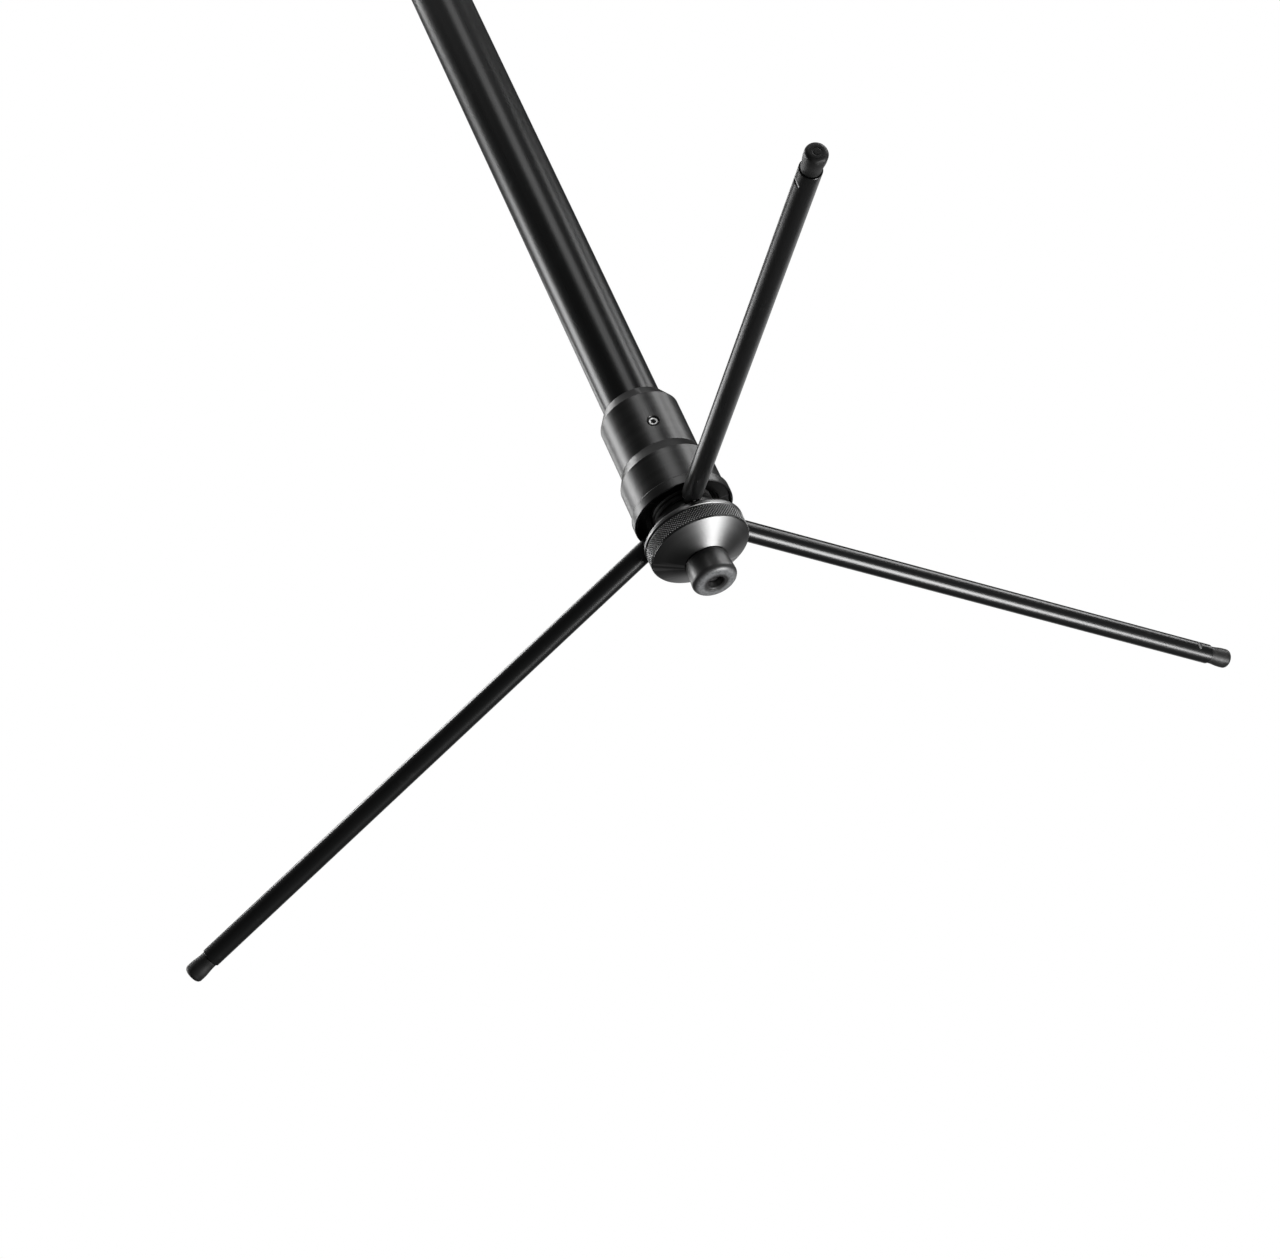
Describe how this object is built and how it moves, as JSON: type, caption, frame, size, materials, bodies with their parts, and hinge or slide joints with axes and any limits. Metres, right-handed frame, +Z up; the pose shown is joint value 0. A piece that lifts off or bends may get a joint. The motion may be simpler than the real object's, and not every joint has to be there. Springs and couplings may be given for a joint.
{
  "type": "music stand",
  "caption": "Folding music stand: slim hinged tripod legs under a turned hub with a knurled clamp nut, telescoping pole with a height clutch, and a tilting slotted desk.",
  "frame": {"origin": "on the floor, on the axis of the pole, under the clamp nut", "axes": "+Z up along the pole; +Y away from the player, who stands at -Y; +X to the player's right, where the two knobs are"},
  "size_m": [0.46, 0.3912, 0.9941],
  "materials": {
    "anodised_black": "satin black anodised, drawn tube and rod",
    "turned_black": "black anodised over fine turning marks, diamond knurl on the grips",
    "black_steel": "black oxide",
    "black_rubber": "matte, rubbed grey where it wears",
    "black_nylon": "matte moulded",
    "desk_black": "fine-texture black powder coat",
    "rivet_black": "satin black"
  },
  "bodies": {
    "base": {"lower_tube": "anodised_black", "hub_body": "turned_black", "hub_grub_screw": "black_steel", "hinge_ring": "turned_black", "clutch_body": "turned_black", "clutch_grub_screw": "black_steel", "clutch_pad": "black_nylon"},
    "nut_carrier": {"rubber_tip": "black_rubber", "tip_screw": "black_steel"},
    "nut": {"clamp_nut": "turned_black"},
    "leg_1": {"leg_rod_1": "anodised_black", "hinge_pin_1": "black_steel", "foot_1": "black_rubber"},
    "leg_2": {"leg_rod_2": "anodised_black", "hinge_pin_2": "black_steel", "foot_2": "black_rubber"},
    "leg_3": {"leg_rod_3": "anodised_black", "hinge_pin_3": "black_steel", "foot_3": "black_rubber"},
    "height_knob": {"clutch_knob": "turned_black"},
    "shaft": {"upper_shaft": "anodised_black", "shaft_plug": "black_nylon", "tilt_head": "turned_black", "tilt_washer_1": "black_nylon", "tilt_washer_2": "black_nylon"},
    "desk": {"desk_bracket": "desk_black", "desk_plate": "desk_black", "desk_ledge": "desk_black", "tilt_bolt": "black_steel", "bracket_rivet_1": "rivet_black", "bracket_rivet_2": "rivet_black", "bracket_rivet_3": "rivet_black", "bracket_rivet_4": "rivet_black", "ledge_rivet_1": "rivet_black", "ledge_rivet_2": "rivet_black", "ledge_rivet_3": "rivet_black"},
    "tilt_knob": {"tilt_knob": "turned_black"}
  },
  "joints": [
    {"name": "nut_turn", "type": "hinge", "parent": "nut_carrier", "child": "nut", "pos_m": [0, 0, 0.05], "axis": [0, 0, -1], "range_deg": [0, 2970]},
    {"name": "nut_travel", "type": "slide", "parent": "base", "child": "nut_carrier", "axis": [0, 0, -1], "range_m": [0, 0.0166]},
    {"name": "leg_1_fold", "type": "hinge", "parent": "base", "child": "leg_1", "pos_m": [0, -0.0178, 0.05842], "axis": [1, 0, 0], "range_deg": [0, 60.1]},
    {"name": "leg_2_fold", "type": "hinge", "parent": "base", "child": "leg_2", "pos_m": [0.0151, 0.00943, 0.05842], "axis": [-0.5299, 0.848, 0], "range_deg": [0, 60.1]},
    {"name": "leg_3_fold", "type": "hinge", "parent": "base", "child": "leg_3", "pos_m": [-0.0151, 0.00943, 0.05842], "axis": [-0.5299, -0.848, 0], "range_deg": [0, 60.1]},
    {"name": "height_slide", "type": "slide", "parent": "base", "child": "shaft", "axis": [0, 0, 1], "range_m": [-0.0275, 0.38]},
    {"name": "height_knob_turn", "type": "hinge", "parent": "base", "child": "height_knob", "pos_m": [0.025, 0, 0.709], "axis": [1, 0, 0], "range_deg": [0, 360]},
    {"name": "desk_tilt", "type": "hinge", "parent": "shaft", "child": "desk", "pos_m": [0, 0, 0.7963], "axis": [-1, 0, 0], "range_deg": [-20, 70]},
    {"name": "tilt_knob_turn", "type": "hinge", "parent": "desk", "child": "tilt_knob", "pos_m": [0.015, 0, 0.7963], "axis": [1, 0, 0], "range_deg": [0, 360]}
  ],
  "couplings": [
    {"joint": "nut_travel", "follows": "nut_turn", "m_per_rad": 0.00031831},
    {"joint": "leg_1_fold", "follows": "nut_turn", "ratio": 0.020202},
    {"joint": "leg_2_fold", "follows": "nut_turn", "ratio": 0.020202},
    {"joint": "leg_3_fold", "follows": "nut_turn", "ratio": 0.020202}
  ]
}
